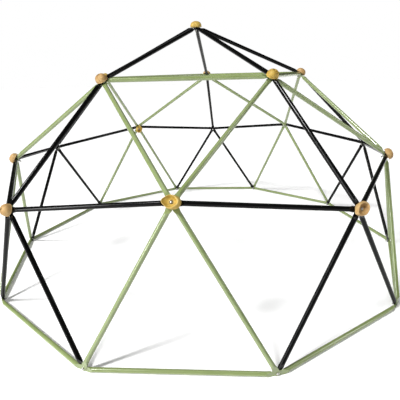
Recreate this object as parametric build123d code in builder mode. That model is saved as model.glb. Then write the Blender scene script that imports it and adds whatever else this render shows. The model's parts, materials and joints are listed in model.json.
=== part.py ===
"""Dome climber: a geodesic hemisphere of pressed-end steel struts, bolted through 26 joints, with climbing holds.

Frame: +Z up, origin on the ground at the centre of the base ring, the front faces -Y. Units are millimetres.
Every joint lies on a ray from the sphere's centre, and its bolt follows that ray. The struts' pressed ends
are stacked on the bolt, one layer each.
"""

import os
from math import atan, atan2, cos, degrees, radians, sin, sqrt, tan

from build123d import *

# ---- The dome ----
dome_radius = 1517.0  # sphere centre to the middle and base joints
five_way_rise = 78.0  # how far the five-way joints stand proud of that sphere
upper_inset = 8.0  # how far the upper six-way joints lie inside it
front_azimuth = -90.0  # the front middle joint faces this way

# ---- Struts ----
tube_diameter = 25.0
tube_wall = 1.2
end_flare = 5.0  # the pressed end, trimmed straight, is this much wider than the tube
press_length = 26.0  # from the bend to the full round tube
taper_length = 19.0  # the sides of the press come in over this length, sooner than its faces open
press_gap = 1.0  # the hollow starts where the press is open this far inside
trim_margin = 1.25  # the wedges end this far past the tube's wall
bend_clearance = 1.5  # from the neighbours' edges to the bend
hole_clearance = 0.6  # on the bolt's diameter, in struts and holds

# ---- Fasteners ----
bolt_diameter = 8.0
hold_bolt_length = 50.0
frame_bolt_length = 30.0
head_diameter = 13.0
head_height = 4.4
head_flat_diameter = 6.5  # the head's flat top, round the key
head_edge_height = 0.9  # the straight edge at the head's rim
key_across_flats = 5.0
key_depth = 2.6
washer_diameter = 16.0
washer_thickness = 1.6
washer_clearance = 0.4  # on the bolt's diameter
nut_across_flats = 13.0
nut_height = 8.0
nut_collar_height = 2.0
nut_collar_inset = 0.6  # the round collar is this much smaller all round than the flats
thread_clearance = 0.1  # on the bolt's diameter, in nuts

# ---- Climbing holds ----
foot_diameter = 52.0  # the boss that stands on the stack of pressed ends
skirt_clearance = 1.2  # between a hold's skirt and the tubes under it
bolt_seat_height = 15.0  # from the foot's face to the seat of the bolt's head
recess_clearance = 1.2  # on the diameter of the head or washer in its recess

dome_hold_length = 78.0
dome_hold_width = 65.0
dome_hold_height = 40.0

jug_length = 88.0  # beak tip to heel
jug_width = 63.0
jug_height = 40.0
jug_beak_radius = 10.0
jug_skirt_draft = 6.0  # the skirt's lower edge is this much smaller all round
jug_top_draft = 5.0  # and so is the top
jug_belt_height = 15.0  # the height of the widest section
dish_floor_height = 18.5
dish_radius = 24.0
dish_half_length = 43.0
dish_shift = 6.0  # towards the beak

# ---- What follows from the sizes above ----
end_thickness = 2 * tube_wall
end_width = tube_diameter + end_flare
base_height = end_width / 2  # the base ring stands on the edges of its pressed ends
upper_polar = degrees(atan((sqrt(5) - 1) / 2))
five_way_polar = 2 * upper_polar
middle_polar = 90 - upper_polar
neighbour_angle = 90 - five_way_polar / 2  # between the nearest struts of a six-way joint
bend_reach = end_width / 2 / tan(radians(neighbour_angle / 2)) + bend_clearance
press_angle = degrees(atan((tube_diameter - end_thickness) / 2 / press_length))
five_way_radius = dome_radius + five_way_rise
upper_radius = dome_radius - upper_inset
riser_run = five_way_radius * sin(radians(upper_polar))
riser_drop = upper_radius - five_way_radius * cos(radians(upper_polar))
least_bend = degrees(atan2(riser_drop, riser_run))  # where a riser leaves its upper joint
skirt_reach = max(dome_hold_length / 2, jug_length / 2 - jug_skirt_draft)
foot_height = (skirt_reach - bend_reach) * tan(radians(press_angle - least_bend)) + skirt_clearance

os.makedirs("parts", exist_ok=True)


def write(part, name):
    part.label = name
    export_step(part, f"parts/{name}.step")


# ---- Joints: place, outward normal and number of layers ----
class Joint:
    """A bolted joint on a ray from the sphere's centre, with one layer for each strut."""

    def __init__(self, azimuth, polar, radius, ways):
        flat = sin(radians(polar))
        self.normal = Vector(flat * cos(radians(azimuth)), flat * sin(radians(azimuth)), cos(radians(polar)))
        self.place = Vector(0, 0, base_height) + self.normal * radius
        self.ways = ways

    def layer(self, number):
        """The middle of a layer, counted from the inside of the dome."""
        return self.place + self.normal * ((number - (self.ways - 1) / 2) * end_thickness)

    def face(self, side):
        """The plane of the stack's outer (side 1) or inner (side -1) face, with x level and to the right."""
        level = Vector(0, 0, 1).cross(self.normal)
        if level.length < 1e-6:
            level = Vector(1, 0, 0)
        outward = self.normal * side
        return Plane(self.place + outward * (self.ways * end_thickness / 2), x_dir=level * side, z_dir=outward)


top = Joint(front_azimuth, 0, five_way_radius, 5)
upper = [Joint(front_azimuth - 36 + 72 * k, upper_polar, upper_radius, 6) for k in range(5)]
raised = [Joint(front_azimuth - 36 + 72 * k, five_way_polar, five_way_radius, 5) for k in range(5)]
middle = [Joint(front_azimuth + 72 * k, middle_polar, dome_radius, 6) for k in range(5)]
base = [Joint(front_azimuth - 18 + 36 * j, 90, dome_radius, 4) for j in range(10)]


# ---- Struts ----
def tongue(pin, normal, toward, crease):
    """The flat end: a round nose about the bolt hole and a straight run to the crease of the bend."""
    run = bend_reach - end_thickness
    with BuildPart() as flat:
        with BuildSketch(Plane(pin, x_dir=toward, z_dir=normal)):
            with Locations((run / 2, 0)):
                Rectangle(run, end_width)
            Circle(end_width / 2)
            Circle((bolt_diameter + hole_clearance) / 2, mode=Mode.SUBTRACT)
        extrude(amount=end_thickness / 2, both=True)
        extrude(crease, amount=2 * end_thickness, dir=-toward)
    return flat.part


def pressed_tube(frame, length, left, right, radius, mouth_radius):
    """A round tube along the frame's x, pinched between two wedges that open from its left and right ends."""
    rise = (radius - abs(left[0][1])) / (press_length - left[0][0])
    clear = radius + trim_margin
    reach = press_length + (clear - radius) / rise
    flare = (mouth_radius - radius) / taper_length
    over = end_thickness
    side_view = [left[0], (reach, clear), (length - reach, clear), right[0]]
    side_view += [right[1], (length - reach, -clear), (reach, -clear), left[1]]
    flared = mouth_radius + flare * over
    profile = [(-over, 0), (-over, flared), (taper_length, radius), (length - taper_length, radius)]
    profile += [(length + over, flared), (length + over, 0)]
    with BuildPart() as tube:
        with BuildSketch(frame):
            Polygon(*side_view, align=None)
        extrude(amount=end_width / 2, both=True)
        with BuildSketch(frame):
            Polygon(*profile, align=None)
        revolve(axis=Axis(frame.origin, frame.x_dir), mode=Mode.INTERSECT)
    return tube.part


def strut(joint_a, layer_a, joint_b, layer_b):
    """One strut between two layers, flattened and bent at both ends and hollow between them."""
    side = joint_a.normal.cross(joint_b.normal).normalized()
    toward_b, toward_a = side.cross(joint_a.normal), joint_b.normal.cross(side)
    pin_a, pin_b = joint_a.layer(layer_a), joint_b.layer(layer_b)
    bend_a, bend_b = pin_a + toward_b * bend_reach, pin_b + toward_a * bend_reach
    length = (bend_b - bend_a).length
    along = (bend_b - bend_a) * (1 / length)
    frame = Plane(bend_a, x_dir=along, z_dir=side)

    tongues, creases = [], []
    for pin, normal, toward, bend, inward in [
        (pin_a, joint_a.normal, toward_b, bend_a, along),
        (pin_b, joint_b.normal, toward_a, bend_b, -along),
    ]:
        crease_plane = Plane(bend, x_dir=side, z_dir=toward + inward)
        crease_height = end_thickness / cos(radians(toward.get_angle(inward) / 2))
        with BuildSketch(crease_plane) as crease:
            Rectangle(end_width, crease_height)
        tongues.append(tongue(pin, normal, toward, crease.sketch))
        edges = [frame.to_local_coords(bend + crease_plane.y_dir * (h * crease_height / 2)) for h in (-1, 1)]
        creases.append(sorted([(edge.X, edge.Y) for edge in edges], key=lambda point: -point[1]))

    mouth = press_gap / 2
    start = press_length * mouth / (tube_diameter / 2 - tube_wall)
    hollow_left, hollow_right = [[(x, mouth), (x, -mouth)] for x in (start, length - start)]
    radius, mouth_radius = tube_diameter / 2, end_width / 2 + end_thickness / 2
    outside = pressed_tube(frame, length, *creases, radius, mouth_radius)
    inside = pressed_tube(frame, length, hollow_left, hollow_right, radius - tube_wall, mouth_radius - tube_wall)
    with BuildPart() as bar:
        add(outside)
        add(tongues)
        add(inside, mode=Mode.SUBTRACT)
    return bar.part


def fifth(solid, k):
    """A copy of a solid of the first fifth of the dome, turned about z to another fifth."""
    return Rot(0, 0, 72 * k) * solid


# The struts of one fifth of the dome, which turn about z into the other four
leg, next_leg, past_leg = base[0], base[1], base[-1]
first_fifth = {
    "riser": [strut(upper[0], 4, raised[0], 4)],
    "upper_ring_strut": [strut(upper[0], 3, upper[1], 2)],
    "brace_pair": [strut(middle[0], 3, upper[0], 1), strut(middle[0], 2, upper[1], 0)],
    "middle_ring_pair": [strut(middle[0], 5, raised[0], 3), strut(middle[0], 4, raised[1], 2)],
    "black_leg_pair": [strut(raised[0], 1, past_leg, 0), strut(raised[0], 0, leg, 0)],
    "green_leg_pair": [strut(middle[0], 1, leg, 3), strut(middle[0], 0, next_leg, 3)],
    "base_ring_pair": [strut(past_leg, 2, leg, 1), strut(leg, 2, next_leg, 1)],
}
for k in range(5):
    write(strut(top, k, upper[k], 5), f"crown_strut_{k + 1}")
    for name, struts in first_fifth.items():
        write(Compound(children=[fifth(solid, k) for solid in struts]), f"{name}_{k + 1}")


# ---- Climbing holds, each made standing on its foot, with the bolt along z ----
def dome_hold():
    """A smooth oval dome with a deep recess for the bolt's head."""
    dome_rise = dome_hold_height - foot_height
    unit_dome = Sphere(1, mode=Mode.PRIVATE)
    oval = scale(unit_dome, by=(dome_hold_length / 2, dome_hold_width / 2, dome_rise), mode=Mode.PRIVATE)
    with BuildPart() as hold:
        add(Pos(0, 0, foot_height) * oval)
        split(bisect_by=Plane.XY.offset(foot_height), keep=Keep.TOP)
        with BuildSketch(Plane.XY):
            Circle(foot_diameter / 2)
        extrude(amount=foot_height)
        with BuildSketch(Plane.XY):
            Circle((bolt_diameter + hole_clearance) / 2)
        extrude(amount=dome_hold_height, mode=Mode.SUBTRACT)
        with BuildSketch(Plane.XY.offset(bolt_seat_height)):
            Circle((head_diameter + recess_clearance) / 2)
        extrude(amount=dome_hold_height, mode=Mode.SUBTRACT)
    return hold.part


def jug_outline(height, draft):
    """The jug's plan: a round heel behind the bolt, drawn out to a beak along x."""
    heel_radius = jug_width / 2 - draft
    beak_radius = jug_beak_radius - draft / 2
    with BuildSketch(Plane.XY.offset(height)) as outline:
        with Locations((heel_radius + draft - jug_length / 2, 0)):
            Circle(heel_radius)
        with Locations((jug_length / 2 - jug_beak_radius - draft / 2, 0)):
            Circle(beak_radius)
        make_hull()
    return outline.sketch


def jug_hold():
    """A teardrop jug: a dish scooped out between a raised heel and the beak."""
    unit_dish = Sphere(1, mode=Mode.PRIVATE)
    dish = scale(unit_dish, by=(dish_half_length, dish_radius, dish_radius), mode=Mode.PRIVATE)
    with BuildPart() as hold:
        sections = [
            jug_outline(foot_height, jug_skirt_draft),
            jug_outline(jug_belt_height, 0),
            jug_outline(jug_height, jug_top_draft),
        ]
        loft(sections=sections)
        with BuildSketch(Plane.XY):
            Circle(foot_diameter / 2)
        extrude(amount=foot_height)
        add(Pos(dish_shift, 0, dish_floor_height + dish_radius) * dish, mode=Mode.SUBTRACT)
        with BuildSketch(Plane.XY):
            Circle((bolt_diameter + hole_clearance) / 2)
        extrude(amount=jug_height, mode=Mode.SUBTRACT)
        with BuildSketch(Plane.XY.offset(bolt_seat_height)):
            Circle((washer_diameter + recess_clearance) / 2)
        extrude(amount=jug_height, mode=Mode.SUBTRACT)
    return hold.part


# Each hold's joint, shape, side of the dome (1 outside) and turn of its long axis from level, anticlockwise
holds = {
    "top_hold": (top, dome_hold, 1, 0),
    **{f"upper_hold_{k + 1}": (upper[k], dome_hold, 1, 15 * k) for k in range(5)},
    "raised_hold_left": (raised[0], dome_hold, 1, 20),
    "raised_hold_right": (raised[1], jug_hold, 1, 200),
    "middle_hold_front": (middle[0], jug_hold, 1, 173),
    "middle_hold_right": (middle[1], dome_hold, 1, 100),
    "middle_hold_left": (middle[4], dome_hold, 1, 70),
    "middle_hold_rear": (middle[3], jug_hold, -1, 90),
}
hold_shapes = {dome_hold: dome_hold(), jug_hold: jug_hold()}
for name, (joint, shape, side, turn) in holds.items():
    write(joint.face(side).location * Rot(0, 0, turn) * hold_shapes[shape], name)


# ---- Fasteners, each made round z with its seat at the origin ----
def bolt(length):
    """A button-head bolt, its shank below the seat."""
    flat_edge = (head_flat_diameter / 2, head_height)
    rim = (head_diameter / 2, head_edge_height)
    shoulder, crown = rim[0] - flat_edge[0], flat_edge[1] - rim[1]
    between = (flat_edge[0] + shoulder * sin(radians(45)), rim[1] + crown * cos(radians(45)))
    with BuildPart() as screw:
        with BuildSketch(Plane.XZ):
            with BuildLine():
                Polyline((0, head_height), flat_edge)
                ThreePointArc(flat_edge, between, rim)
                Polyline(rim, (head_diameter / 2, 0), (0, 0), (0, head_height))
            make_face()
        revolve(axis=Axis.Z)
        with BuildSketch(Plane.XY):
            Circle(bolt_diameter / 2)
        extrude(amount=-length)
        chamfer(screw.edges().filter_by(GeomType.CIRCLE).group_by(Axis.Z)[0], length=bolt_diameter / 10)
        with BuildSketch(Plane.XY.offset(head_height)):
            RegularPolygon(key_across_flats / 2, 6, major_radius=False)
        extrude(amount=-key_depth, mode=Mode.SUBTRACT)
    return screw.part


def washer():
    with BuildPart() as ring:
        with BuildSketch(Plane.XY):
            Circle(washer_diameter / 2)
            Circle((bolt_diameter + washer_clearance) / 2, mode=Mode.SUBTRACT)
        extrude(amount=washer_thickness)
    return ring.part


def lock_nut():
    """A hexagon with the round collar that holds the locking ring."""
    with BuildPart() as nut:
        with BuildSketch(Plane.XY):
            RegularPolygon(nut_across_flats / 2, 6, major_radius=False)
        extrude(amount=nut_height - nut_collar_height)
        with BuildSketch(Plane.XY.offset(nut_height - nut_collar_height)):
            Circle(nut_across_flats / 2 - nut_collar_inset)
        extrude(amount=nut_collar_height)
        fillet(nut.edges().filter_by(GeomType.CIRCLE).group_by(Axis.Z)[-1], radius=nut_collar_height / 2)
        with BuildSketch(Plane.XY):
            Circle((bolt_diameter + thread_clearance) / 2)
        extrude(amount=nut_height, mode=Mode.SUBTRACT)
    return nut.part


def write_group(name, shape, planes):
    write(Compound(children=[plane.location * shape for plane in planes]), name)


hold_sides = {id(joint): side for joint, _, side, _ in holds.values()}
jug_joints = [joint for joint, shape, _, _ in holds.values() if shape is jug_hold]
all_joints = [top, *upper, *raised, *middle, *base]
held = [joint for joint in all_joints if id(joint) in hold_sides]
bare = [joint for joint in all_joints if id(joint) not in hold_sides]


def hold_seat(joint):
    """The seat of a hold bolt's head: on the hold, or on the washer in a jug's dish."""
    on_washer = washer_thickness if joint in jug_joints else 0
    return joint.face(hold_sides[id(joint)]).offset(bolt_seat_height + on_washer)


nut_faces = [joint.face(-hold_sides.get(id(joint), 1)) for joint in all_joints]
write_group("hold_bolts", bolt(hold_bolt_length), [hold_seat(joint) for joint in held])
jug_seats = [joint.face(hold_sides[id(joint)]).offset(bolt_seat_height) for joint in jug_joints]
write_group("jug_washers", washer(), jug_seats)
write_group("frame_bolts", bolt(frame_bolt_length), [joint.face(1).offset(washer_thickness) for joint in bare])
write_group("outer_washers", washer(), [joint.face(1) for joint in bare])
write_group("inner_washers", washer(), nut_faces)
write_group("lock_nuts", lock_nut(), [face.offset(washer_thickness) for face in nut_faces])
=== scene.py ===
"""The dome climber's looks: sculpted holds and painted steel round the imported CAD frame."""

import json
import math

import bmesh
import bpy
from mathutils import Matrix, Vector, noise


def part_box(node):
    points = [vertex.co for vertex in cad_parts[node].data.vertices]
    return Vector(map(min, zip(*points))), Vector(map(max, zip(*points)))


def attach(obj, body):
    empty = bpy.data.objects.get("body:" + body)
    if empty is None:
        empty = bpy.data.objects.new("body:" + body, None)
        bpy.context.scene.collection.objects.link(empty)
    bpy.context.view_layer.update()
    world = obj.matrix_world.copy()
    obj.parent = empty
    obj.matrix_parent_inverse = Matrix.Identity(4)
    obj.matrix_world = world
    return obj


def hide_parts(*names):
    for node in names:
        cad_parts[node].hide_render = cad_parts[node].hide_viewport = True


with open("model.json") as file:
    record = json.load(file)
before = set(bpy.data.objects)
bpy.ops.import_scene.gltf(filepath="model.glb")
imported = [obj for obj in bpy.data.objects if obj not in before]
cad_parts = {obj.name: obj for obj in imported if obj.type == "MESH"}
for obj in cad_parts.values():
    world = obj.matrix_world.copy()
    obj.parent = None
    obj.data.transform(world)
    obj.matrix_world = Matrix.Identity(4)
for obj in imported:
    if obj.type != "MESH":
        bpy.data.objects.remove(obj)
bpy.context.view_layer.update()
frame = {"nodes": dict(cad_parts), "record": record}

MM = 0.001

# ---- The dome's frame, as in the CAD source ----
UPPER_POLAR = math.degrees(math.atan((math.sqrt(5) - 1) / 2))
FIVE_WAY_POLAR = 2 * UPPER_POLAR
MIDDLE_POLAR = 90 - UPPER_POLAR
CENTRE = Vector((0, 0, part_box("base_ring_pair_1")[1].z / 2))

# ---- The foot, the bore and the bolt recess that the holds share ----
BORE_RADIUS = 4.3 * MM
BORE_CHAMFER = 0.4 * MM
BOSS_RADIUS = 26 * MM
BOSS_CHAMFER = 0.4 * MM
BOSS_FILLET = 0.3 * MM
FOOT_HEIGHT = 3.5 * MM
SEAT_HEIGHT = 15 * MM
HEAD_RECESS_RADIUS = 7.1 * MM
WASHER_RECESS_RADIUS = 8.6 * MM
RECESS_EASING = 1.3 * MM
CROWN_FLAT = 1.8 * MM

# ---- The domed hold ----
DOME_HALF_LENGTH, DOME_HALF_WIDTH, DOME_HEIGHT = 39 * MM, 32.5 * MM, 39.6 * MM
DOME_LIP = 2.2 * MM
DOME_BULGE = 2 / 2.35
DOME_SHOULDER_INSET = 0.8 * MM
DOME_STEPS = 20
# The lip, outward and up: share of the oval, height over the foot and inset, both in mm.
DOME_LIP_PROFILE = (
    (0.84, 0, 0),
    (1, 0, 1.4),
    (1, 0.3, 0.6),
    (1, 1.0, 0),
    (1, 1.8, 0.1),
    (1, DOME_LIP / MM, 0.6),
)

# ---- The jug ----
JUG_BEAK, JUG_HEEL, JUG_HALF_WIDTH = 45.5 * MM, 43 * MM, 31.5 * MM
# The wall from the foot to the lip, in mm: inset, height over the foot, the heel's extra inset and rise,
# and the beak's drop.
JUG_WALL = (
    (7.5, 0, 0, 0, 0),
    (6.4, 0.3, 0, 0, 0),
    (5.6, 1.2, 0, 0, 0),
    (3.2, 4.5, 0, 0, 0),
    (1.2, 9.5, 0, 0, 0),
    (0.3, 14.5, 0, 0, 0),
    (0, 19.5, 0.4, 0, 0),
    (0.3, 24, 2.2, 1.5, 1),
    (0.8, 27.5, 5.0, 3.5, 2),
    (1.4, 29.5, 8.0, 5.2, 3),
    (2.2, 30.7, 10.2, 5.8, 3.6),
    (3.0, 30.5, 11.4, 5.0, 3.8),
)
DISH_EDGE = (3.9, 29.1, 11.6, 3.0, 4.2)
DISH_FLOOR = 18.5 * MM
DISH_CURVE, HEEL_CURVE = 2.2, 1.2
DISH_STEPS = 14

# ---- The skin of a hold ----
SEGMENTS = 72
TURNS = [2 * math.pi * j / SEGMENTS for j in range(SEGMENTS)]
UNEVENNESS = 0.5 * MM
SWELL_SCALE, RIPPLE_SCALE = 38, 90
SEED_STEP = 3.7
WORKED_RADIUS, WORKED_HEIGHT = BOSS_RADIUS * 0.5, FOOT_HEIGHT * 1.2


# ---- Materials ----
class Look:
    """A procedural material whose textures are placed by object coordinates, in metres."""

    def __init__(self, name):
        self.material = bpy.data.materials.new(name)
        self.material.use_nodes = True
        self.tree = self.material.node_tree
        self.tree.nodes.clear()
        self.shader = self.add("ShaderNodeBsdfPrincipled")
        out = self.add("ShaderNodeOutputMaterial")
        self.link(self.shader.outputs[0], out.inputs[0])
        self.place = self.add("ShaderNodeTexCoord").outputs["Object"]

    def add(self, kind, **values):
        made = self.tree.nodes.new(kind)
        for key, value in values.items():
            made.inputs[key].default_value = value
        return made

    def link(self, source, target):
        self.tree.links.new(source, target)

    def noise(self, scale, detail=3.0, roughness=0.55, stretch=None):
        made = self.add("ShaderNodeTexNoise", Scale=scale, Detail=detail, Roughness=roughness)
        source = self.place
        if stretch:
            mapping = self.add("ShaderNodeMapping", Scale=stretch)
            self.link(source, mapping.inputs["Vector"])
            source = mapping.outputs["Vector"]
        self.link(source, made.inputs["Vector"])
        return made.outputs["Fac"]

    def ramp(self, source, *stops):
        """A colour from the source; each stop is (position, colour)."""
        made = self.add("ShaderNodeValToRGB")
        elements = made.color_ramp.elements
        while len(elements) < len(stops):
            elements.new(0.5)
        for element, (position, colour) in zip(elements, stops):
            element.position = position
            element.color = (*colour, 1)
        self.link(source, made.inputs["Fac"])
        return made.outputs["Color"]

    def span(self, source, low, high, to_low, to_high):
        """The source's range from low to high, mapped to another range."""
        made = self.add("ShaderNodeMapRange")
        for key, value in zip(("From Min", "From Max", "To Min", "To Max"), (low, high, to_low, to_high)):
            made.inputs[key].default_value = value
        self.link(source, made.inputs["Value"])
        return made.outputs["Result"]

    def mix(self, factor, under, colour):
        """A fixed colour laid over another colour by the factor."""
        made = self.add("ShaderNodeMix")
        made.data_type = "RGBA"
        factor_in, under_in, colour_in = made.inputs[0], made.inputs[6], made.inputs[7]
        self.link(factor, factor_in)
        self.link(under, under_in)
        colour_in.default_value = (*colour, 1)
        return made.outputs[2]

    def bumps(self, *layers):
        """Bump layers, each (height source, strength, distance in metres)."""
        normal = None
        for source, strength, distance in layers:
            made = self.add("ShaderNodeBump", Strength=strength, Distance=distance)
            self.link(source, made.inputs["Height"])
            if normal:
                self.link(normal, made.inputs["Normal"])
            normal = made.outputs["Normal"]
        self.link(normal, self.shader.inputs["Normal"])

    def set(self, **values):
        """Fixed values on the shader; an underscore stands for a space in a socket's name."""
        for key, value in values.items():
            self.shader.inputs[key.replace("_", " ")].default_value = value

    def feed(self, **sources):
        """Linked sources on the shader, named as in set."""
        for key, source in sources.items():
            self.link(source, self.shader.inputs[key.replace("_", " ")])


def powder_coat(name, colour, deep, worn, gloss, specular, coat):
    """Powder coat: an orange-peel skin, faint mottling and small dull scuffs."""
    dulling = 0.09
    look = Look(name)
    mottle = look.noise(scale=9.0, detail=4.0)
    scuff = look.noise(scale=60.0, detail=6.0, roughness=0.7)
    peel = look.noise(scale=420.0, detail=2.0)
    dimples = look.noise(scale=150.0)
    paint = look.ramp(mottle, (0.32, deep), (0.68, colour))
    scuffed = look.span(scuff, 0.66, 0.80, 0.0, 0.55)
    look.feed(Base_Color=look.mix(scuffed, paint, worn))
    look.feed(Roughness=look.span(scuff, 0.35, 0.75, gloss, gloss + dulling))
    look.bumps((peel, 0.12, 0.6 * MM), (dimples, 0.10, 1.0 * MM))
    look.set(Specular_IOR_Level=specular, Coat_Weight=coat, Coat_Roughness=0.12)
    return look.material


def moulded_resin(name, pale, body, deep):
    """Cast resin: a fine sandy grain, soft clouds of colour, small pits and a painted highlight that makes
    the ridges and bulges paler.
    """
    look = Look(name)
    cloud = look.noise(scale=34.0, detail=5.0, roughness=0.6)
    grain = look.noise(scale=900.0, roughness=0.7)
    pits = look.noise(scale=260.0, detail=4.0, roughness=0.65)
    clouded = look.ramp(cloud, (0.30, deep), (0.52, body), (0.78, pale))
    speckled = look.mix(look.span(grain, 0.60, 0.75, 0.0, 0.30), clouded, deep)
    geometry = look.add("ShaderNodeNewGeometry")
    # Painted highlight: the convex ridges and bulges are mixed towards the pale colour.
    ridge_highlight = look.span(geometry.outputs["Pointiness"], 0.505, 0.56, 0.0, 0.65)
    look.feed(Base_Color=look.mix(ridge_highlight, speckled, pale))
    look.feed(Roughness=look.span(pits, 0.3, 0.7, 0.50, 0.72))
    look.bumps((grain, 0.25, 0.4 * MM), (pits, 0.30, 0.9 * MM))
    look.set(Specular_IOR_Level=0.35)
    return look.material


def zinc(name, pale, dark, roughness):
    """Zinc plate: grey with darker, slightly yellow blooms and fine marks."""
    dulling = 0.14
    look = Look(name)
    bloom = look.noise(scale=120.0, detail=4.0)
    marks = look.noise(scale=700.0, detail=2.0, stretch=(1.0, 1.0, 5.0))
    look.feed(Base_Color=look.ramp(bloom, (0.30, dark), (0.65, pale)))
    look.feed(Roughness=look.span(bloom, 0.3, 0.7, roughness + dulling, roughness))
    look.bumps((marks, 0.15, 0.3 * MM))
    look.set(Metallic=0.9)
    return look.material


def floor_paper():
    """Matt white paper that glows a little, so that it meets the white background."""
    look = Look("floor_paper")
    shade = look.ramp(look.noise(scale=3.0), (0.3, (0.86, 0.86, 0.86)), (0.7, (0.89, 0.89, 0.89)))
    look.feed(Base_Color=shade)
    look.set(Roughness=0.9, Specular_IOR_Level=0.1, Emission_Color=(1, 1, 1, 1), Emission_Strength=0.16)
    return look.material


LOOKS = {
    "black_paint": powder_coat(
        "black_paint",
        colour=(0.0030, 0.0031, 0.0030),
        deep=(0.002, 0.002, 0.002),
        worn=(0.006, 0.006, 0.006),
        gloss=0.10,
        specular=0.13,
        coat=0.0,
    ),
    "green_paint": powder_coat(
        "green_paint",
        colour=(0.215, 0.270, 0.105),
        deep=(0.175, 0.226, 0.080),
        worn=(0.270, 0.320, 0.165),
        gloss=0.20,
        specular=0.80,
        coat=0.5,
    ),
    "tan_hold": moulded_resin(
        "tan_hold", pale=(0.520, 0.370, 0.175), body=(0.400, 0.245, 0.090), deep=(0.250, 0.130, 0.038)
    ),
    "mustard_hold": moulded_resin(
        "mustard_hold", pale=(0.600, 0.450, 0.160), body=(0.460, 0.305, 0.050), deep=(0.300, 0.170, 0.015)
    ),
    "zinc_steel": zinc("zinc_steel", pale=(0.62, 0.62, 0.60), dark=(0.34, 0.33, 0.29), roughness=0.24),
}
# Painted shade: the jug washers' zinc is darkened to stand for the shadow in the bolt recess.
RECESS_SHADE_ZINC = zinc("recess_shade_zinc", pale=(0.11, 0.095, 0.075), dark=(0.05, 0.042, 0.032), roughness=0.42)


def paint_frame():
    """Every CAD node gets its slot's look; the washers in the dishes get a much darker zinc, painted shade
    for the shadow round the bolt in the dish's recess.
    """
    slots = {part["node"]: part["material_slot"] for part in frame["record"]["subparts"]}
    for name, item in frame["nodes"].items():
        for slot in item.material_slots:
            slot.material = RECESS_SHADE_ZINC if name == "jug_washers" else LOOKS[slots[name]]


# ---- Shapes of the holds ----
def smooth(low, high, value):
    """0 at low, 1 at high and eased between them; low may be the larger."""
    t = min(max((value - low) / (high - low), 0.0), 1.0)
    return t * t * (3 - 2 * t)


def skin_wave(point, seed):
    """A slow swell and half as much of a finer ripple, different on each hold."""
    swell = noise.noise(point * SWELL_SCALE + Vector((seed, 0, 0)))
    return swell + 0.5 * noise.noise(point * RIPPLE_SCALE + Vector((0, seed, 0)))


def body_of_rings(name, rings, seed):
    """A closed body from rings of points that run once round its section, from the bore and back to it.

    Only the skin outside the worked radius and height is uneven, so the foot and the bolt's recess stay true.
    """
    mesh = bmesh.new()
    rows = []
    for ring in rings:
        row = []
        for x, y, z in ring:
            point = Vector((x, y, z))
            if point.xy.length > WORKED_RADIUS and z > WORKED_HEIGHT:
                point += Vector((x, y, z * 0.6)).normalized() * skin_wave(point, seed) * UNEVENNESS
            row.append(mesh.verts.new(point))
        rows.append(row)
    for k, row in enumerate(rows):
        after = rows[(k + 1) % len(rows)]
        for j in range(SEGMENTS):
            n = (j + 1) % SEGMENTS
            mesh.faces.new((row[j], row[n], after[n], after[j]))
    bmesh.ops.recalc_face_normals(mesh, faces=mesh.faces)
    data = bpy.data.meshes.new(name)
    mesh.to_mesh(data)
    mesh.free()
    for polygon in data.polygons:
        polygon.use_smooth = True
    return data


def circles(profile):
    """A ring of points for each (radius, height) of a turned profile."""
    return [[(radius * math.cos(u), radius * math.sin(u), z) for u in TURNS] for radius, z in profile]


def foot_rings():
    """From the bolt's seat down the bore, out along the foot's underside and up the boss."""
    return circles([
        (BORE_RADIUS, SEAT_HEIGHT),
        (BORE_RADIUS, SEAT_HEIGHT * 0.5),
        (BORE_RADIUS, 0.0),
        (BOSS_RADIUS * 0.6, 0.0),
        (BOSS_RADIUS - BOSS_CHAMFER, 0.0),
        (BOSS_RADIUS, BOSS_CHAMFER),
        (BOSS_RADIUS, FOOT_HEIGHT - BOSS_FILLET),
        (BOSS_RADIUS + BOSS_FILLET, FOOT_HEIGHT),
    ])


def recess_rings(radius, rim):
    """From the rim of the bolt's recess down to its floor and in to the bore."""
    return circles([
        (radius + RECESS_EASING, rim),
        (radius + 0.5 * MM, rim - 0.3 * MM),
        (radius, rim - 1.2 * MM),
        (radius, (rim + SEAT_HEIGHT) / 2),
        (radius, SEAT_HEIGHT + 0.2 * MM),
        (radius - 0.2 * MM, SEAT_HEIGHT),
        (BORE_RADIUS + BORE_CHAMFER, SEAT_HEIGHT),
    ])


def dome_oval(share, z, inset):
    """The dome's oval plan at a share of its size, rounding off to a circle near the crown."""
    a, b = DOME_HALF_LENGTH * share - inset, DOME_HALF_WIDTH * share - inset
    round_off = smooth(0.55, 0.22, share)
    points = []
    for u in TURNS:
        r = 1 / math.hypot(math.cos(u) / a, math.sin(u) / b)
        r += (math.sqrt(a * b) - r) * round_off
        points.append((r * math.cos(u), r * math.sin(u), z))
    return points


def dome_height(share):
    """The dome's height where its plan is a share of its full size."""
    rise = DOME_HEIGHT - FOOT_HEIGHT - DOME_LIP
    return FOOT_HEIGHT + DOME_LIP + rise * max(1 - share ** (2 / DOME_BULGE), 0.0) ** (DOME_BULGE / 2)


def dome_rings():
    """A smooth oval dome: a chamfered lip, a full shoulder and a flatter crown with the recess in it."""
    rings = foot_rings()
    for share, height, inset in DOME_LIP_PROFILE:
        rings.append(dome_oval(share, FOOT_HEIGHT + height * MM, inset * MM))
    crown_share = (HEAD_RECESS_RADIUS + CROWN_FLAT) / math.sqrt(DOME_HALF_LENGTH * DOME_HALF_WIDTH)
    last = math.acos(crown_share ** (1 / DOME_BULGE))
    for k in range(1, DOME_STEPS + 1):
        share = math.cos(last * k / DOME_STEPS) ** DOME_BULGE
        rings.append(dome_oval(share, dome_height(share), DOME_SHOULDER_INSET * share))
    return rings + recess_rings(HEAD_RECESS_RADIUS, dome_height(crown_share))


def heel_share(u):
    """How far the direction u is at the jug's heel, from 0 to 1."""
    return smooth(0.35, -0.9, math.cos(u))


def beak_share(u):
    """How far the direction u is at the jug's beak, from 0 to 1."""
    return smooth(0.2, 1.0, math.cos(u))


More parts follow.
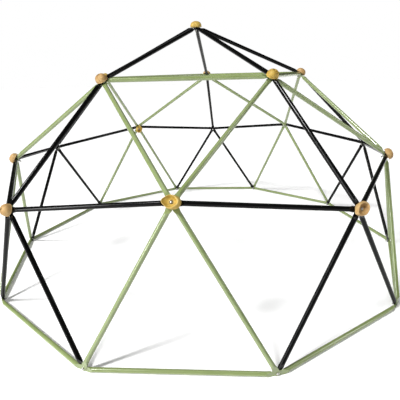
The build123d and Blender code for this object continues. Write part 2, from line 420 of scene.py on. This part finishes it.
def jug_outline(u, inset):
    """The jug's plan: a pointed beak along x, blunter at its very tip, and a round heel."""
    beak_inset_gain = 1.3
    beak_point, tip_blunting = 0.78, 0.16
    heel_fullness, side_fullness = 2.4, 2.2
    c, s = math.cos(u), math.sin(u)
    if c >= 0:
        x = (JUG_BEAK - inset * beak_inset_gain) * c
        width = abs(s) ** (2 * (beak_point - tip_blunting * smooth(0.75, 1.0, c)))
    else:
        x = (JUG_HEEL - inset) * c
        width = (1 - abs(c) ** heel_fullness) ** (1 / side_fullness)
    return x, (JUG_HALF_WIDTH - inset) * math.copysign(width, s)


def jug_ring(inset, height, heel_inset, heel_rise, beak_drop):
    """One ring of the jug's wall, from sizes in mm."""
    points = []
    for u in TURNS:
        heel, beak = heel_share(u), beak_share(u)
        x, y = jug_outline(u, (inset + heel_inset * heel) * MM)
        points.append((x, y, FOOT_HEIGHT + (height + heel_rise * heel - beak_drop * beak) * MM))
    return points


def jug_rings():
    """A scooped teardrop: thin rim round the beak, a broad sloping lip on the heel and a deep dish."""
    rings = foot_rings() + [jug_ring(*row) for row in JUG_WALL]
    edge = jug_ring(*DISH_EDGE)
    floor_radius = WASHER_RECESS_RADIUS + RECESS_EASING
    for k in range(DISH_STEPS):
        t = k / DISH_STEPS
        ring = []
        for u, (x, y, top) in zip(TURNS, edge):
            end = Vector((floor_radius * math.cos(u), floor_radius * math.sin(u)))
            at = Vector((x, y)).lerp(end, t)
            depth = (1 - t) ** (DISH_CURVE + HEEL_CURVE * heel_share(u))
            ring.append((at.x, at.y, DISH_FLOOR + (top - DISH_FLOOR) * depth))
        rings.append(ring)
    return rings + recess_rings(WASHER_RECESS_RADIUS, DISH_FLOOR)


# ---- Places of the holds ----
def hold_matrix(node, azimuth, polar, side, turn):
    """The hold's own frame: z out of the stack, x level and turned; its origin is the CAD foot's face."""
    flat = math.sin(math.radians(polar))
    a = math.radians(azimuth)
    normal = Vector((flat * math.cos(a), flat * math.sin(a), math.cos(math.radians(polar))))
    outward = normal * side
    level = Vector((0, 0, 1)).cross(normal)
    level = level.normalized() * side if level.length > 1e-6 else Vector((1, 0, 0))
    foot = min((vert.co - CENTRE).dot(outward) for vert in frame["nodes"][node].data.vertices)
    basis = Matrix((level, outward.cross(level), outward)).transposed().to_4x4()
    return Matrix.Translation(CENTRE + outward * foot) @ basis @ Matrix.Rotation(math.radians(turn), 4, "Z")


# The joint's azimuth and polar angle, the shape, 1 outside the dome or -1 inside, the turn and the slot.
HOLDS = {
    "top_hold": (-90, 0, "dome", 1, 0, "mustard_hold"),
    "upper_hold_1": (-126, UPPER_POLAR, "dome", 1, 0, "tan_hold"),
    "upper_hold_2": (-54, UPPER_POLAR, "dome", 1, 15, "mustard_hold"),
    "upper_hold_3": (18, UPPER_POLAR, "dome", 1, 30, "tan_hold"),
    "upper_hold_4": (90, UPPER_POLAR, "dome", 1, 45, "tan_hold"),
    "upper_hold_5": (162, UPPER_POLAR, "dome", 1, 60, "mustard_hold"),
    "raised_hold_left": (-126, FIVE_WAY_POLAR, "dome", 1, 20, "tan_hold"),
    "raised_hold_right": (-54, FIVE_WAY_POLAR, "jug", 1, 200, "tan_hold"),
    "middle_hold_front": (-90, MIDDLE_POLAR, "jug", 1, 173, "mustard_hold"),
    "middle_hold_right": (-18, MIDDLE_POLAR, "dome", 1, 100, "tan_hold"),
    "middle_hold_left": (198, MIDDLE_POLAR, "dome", 1, 70, "tan_hold"),
    "middle_hold_rear": (126, MIDDLE_POLAR, "jug", -1, 90, "mustard_hold"),
}


def add_holds():
    shapes = {"dome": dome_rings(), "jug": jug_rings()}
    for k, (node, (azimuth, polar, shape, side, turn, slot)) in enumerate(HOLDS.items()):
        data = body_of_rings(node + "_sculpted", shapes[shape], k * SEED_STEP)
        hold = bpy.data.objects.new(node + "_sculpted", data)
        hold.matrix_world = hold_matrix(node, azimuth, polar, side, turn)
        data.materials.append(LOOKS[slot])
        bpy.context.scene.collection.objects.link(hold)
        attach(hold, "root")
        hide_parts(node)


# ---- Studio ----
def add_floor():
    half = 40.0
    corners = [(-half, -half, 0), (half, -half, 0), (half, half, 0), (-half, half, 0)]
    mesh = bpy.data.meshes.new("floor")
    mesh.from_pydata(corners, [], [(0, 1, 2, 3)])
    floor = bpy.data.objects.new("floor", mesh)
    mesh.materials.append(floor_paper())
    bpy.context.scene.collection.objects.link(floor)


def add_world(fill, backdrop):
    """A background that is bright to look at and only a faint fill as a light."""
    world = bpy.data.worlds.new("studio")
    bpy.context.scene.world = world
    world.use_nodes = True
    tree = world.node_tree
    background = tree.nodes["Background"]
    background.inputs["Color"].default_value = (1, 1, 1, 1)
    path = tree.nodes.new("ShaderNodeLightPath")
    strength = tree.nodes.new("ShaderNodeMapRange")
    strength.inputs["To Min"].default_value = fill
    strength.inputs["To Max"].default_value = backdrop
    tree.links.new(path.outputs["Is Camera Ray"], strength.inputs["Value"])
    tree.links.new(strength.outputs["Result"], background.inputs["Strength"])


def add_softbox(name, place, target, size, power):
    data = bpy.data.lights.new(name, "AREA")
    data.shape = "RECTANGLE"
    data.size, data.size_y = size
    data.energy = power
    light = bpy.data.objects.new(name, data)
    light.location = place
    light.rotation_euler = (Vector(target) - Vector(place)).to_track_quat("-Z", "Y").to_euler()
    bpy.context.scene.collection.objects.link(light)


def add_sun(name, azimuth, elevation, spread, power):
    """A sun that stands in the given direction; the spread is its disc's width, all in degrees."""
    data = bpy.data.lights.new(name, "SUN")
    data.angle = math.radians(spread)
    data.energy = power
    light = bpy.data.objects.new(name, data)
    a, e = math.radians(azimuth), math.radians(elevation)
    toward = Vector((math.cos(a) * math.cos(e), math.sin(a) * math.cos(e), math.sin(e)))
    light.rotation_euler = toward.to_track_quat("Z", "Y").to_euler()
    bpy.context.scene.collection.objects.link(light)


def add_camera(place, heading, elevation, roll, lens, shift):
    """A camera that looks to the left of +Y by its heading and up by its elevation, in degrees."""
    data = bpy.data.cameras.new("camera")
    data.lens = lens
    data.sensor_width = 36.0
    data.shift_x, data.shift_y = shift
    data.clip_end = 200
    camera = bpy.data.objects.new("camera", data)
    aim = Matrix.Rotation(math.radians(heading), 4, "Z")
    aim = aim @ Matrix.Rotation(math.radians(90 + elevation), 4, "X")
    aim = aim @ Matrix.Rotation(math.radians(roll), 4, "Z")
    camera.matrix_world = Matrix.Translation(Vector(place)) @ aim
    bpy.context.scene.collection.objects.link(camera)
    bpy.context.scene.camera = camera


paint_frame()
add_holds()
add_floor()
add_world(fill=0.04, backdrop=1.0)
add_sun("key", azimuth=-140, elevation=52, spread=10, power=3.5)
add_sun("over", azimuth=60, elevation=74, spread=40, power=0.35)
add_softbox("strip_left", place=(-4.4, -4.2, 2.6), target=(0, 0, 0.8), size=(0.7, 3.6), power=260)
add_softbox("strip_right", place=(5.0, -1.6, 2.6), target=(0, 0, 0.8), size=(0.6, 3.0), power=45)
add_camera(
    place=(0.2844, -2.748, 1.3413),
    heading=4.03,
    elevation=-22.32,
    roll=-1.59,
    lens=32.36,
    shift=(-0.0365, 0.046),
)
bpy.context.scene.view_settings.view_transform = "Standard"
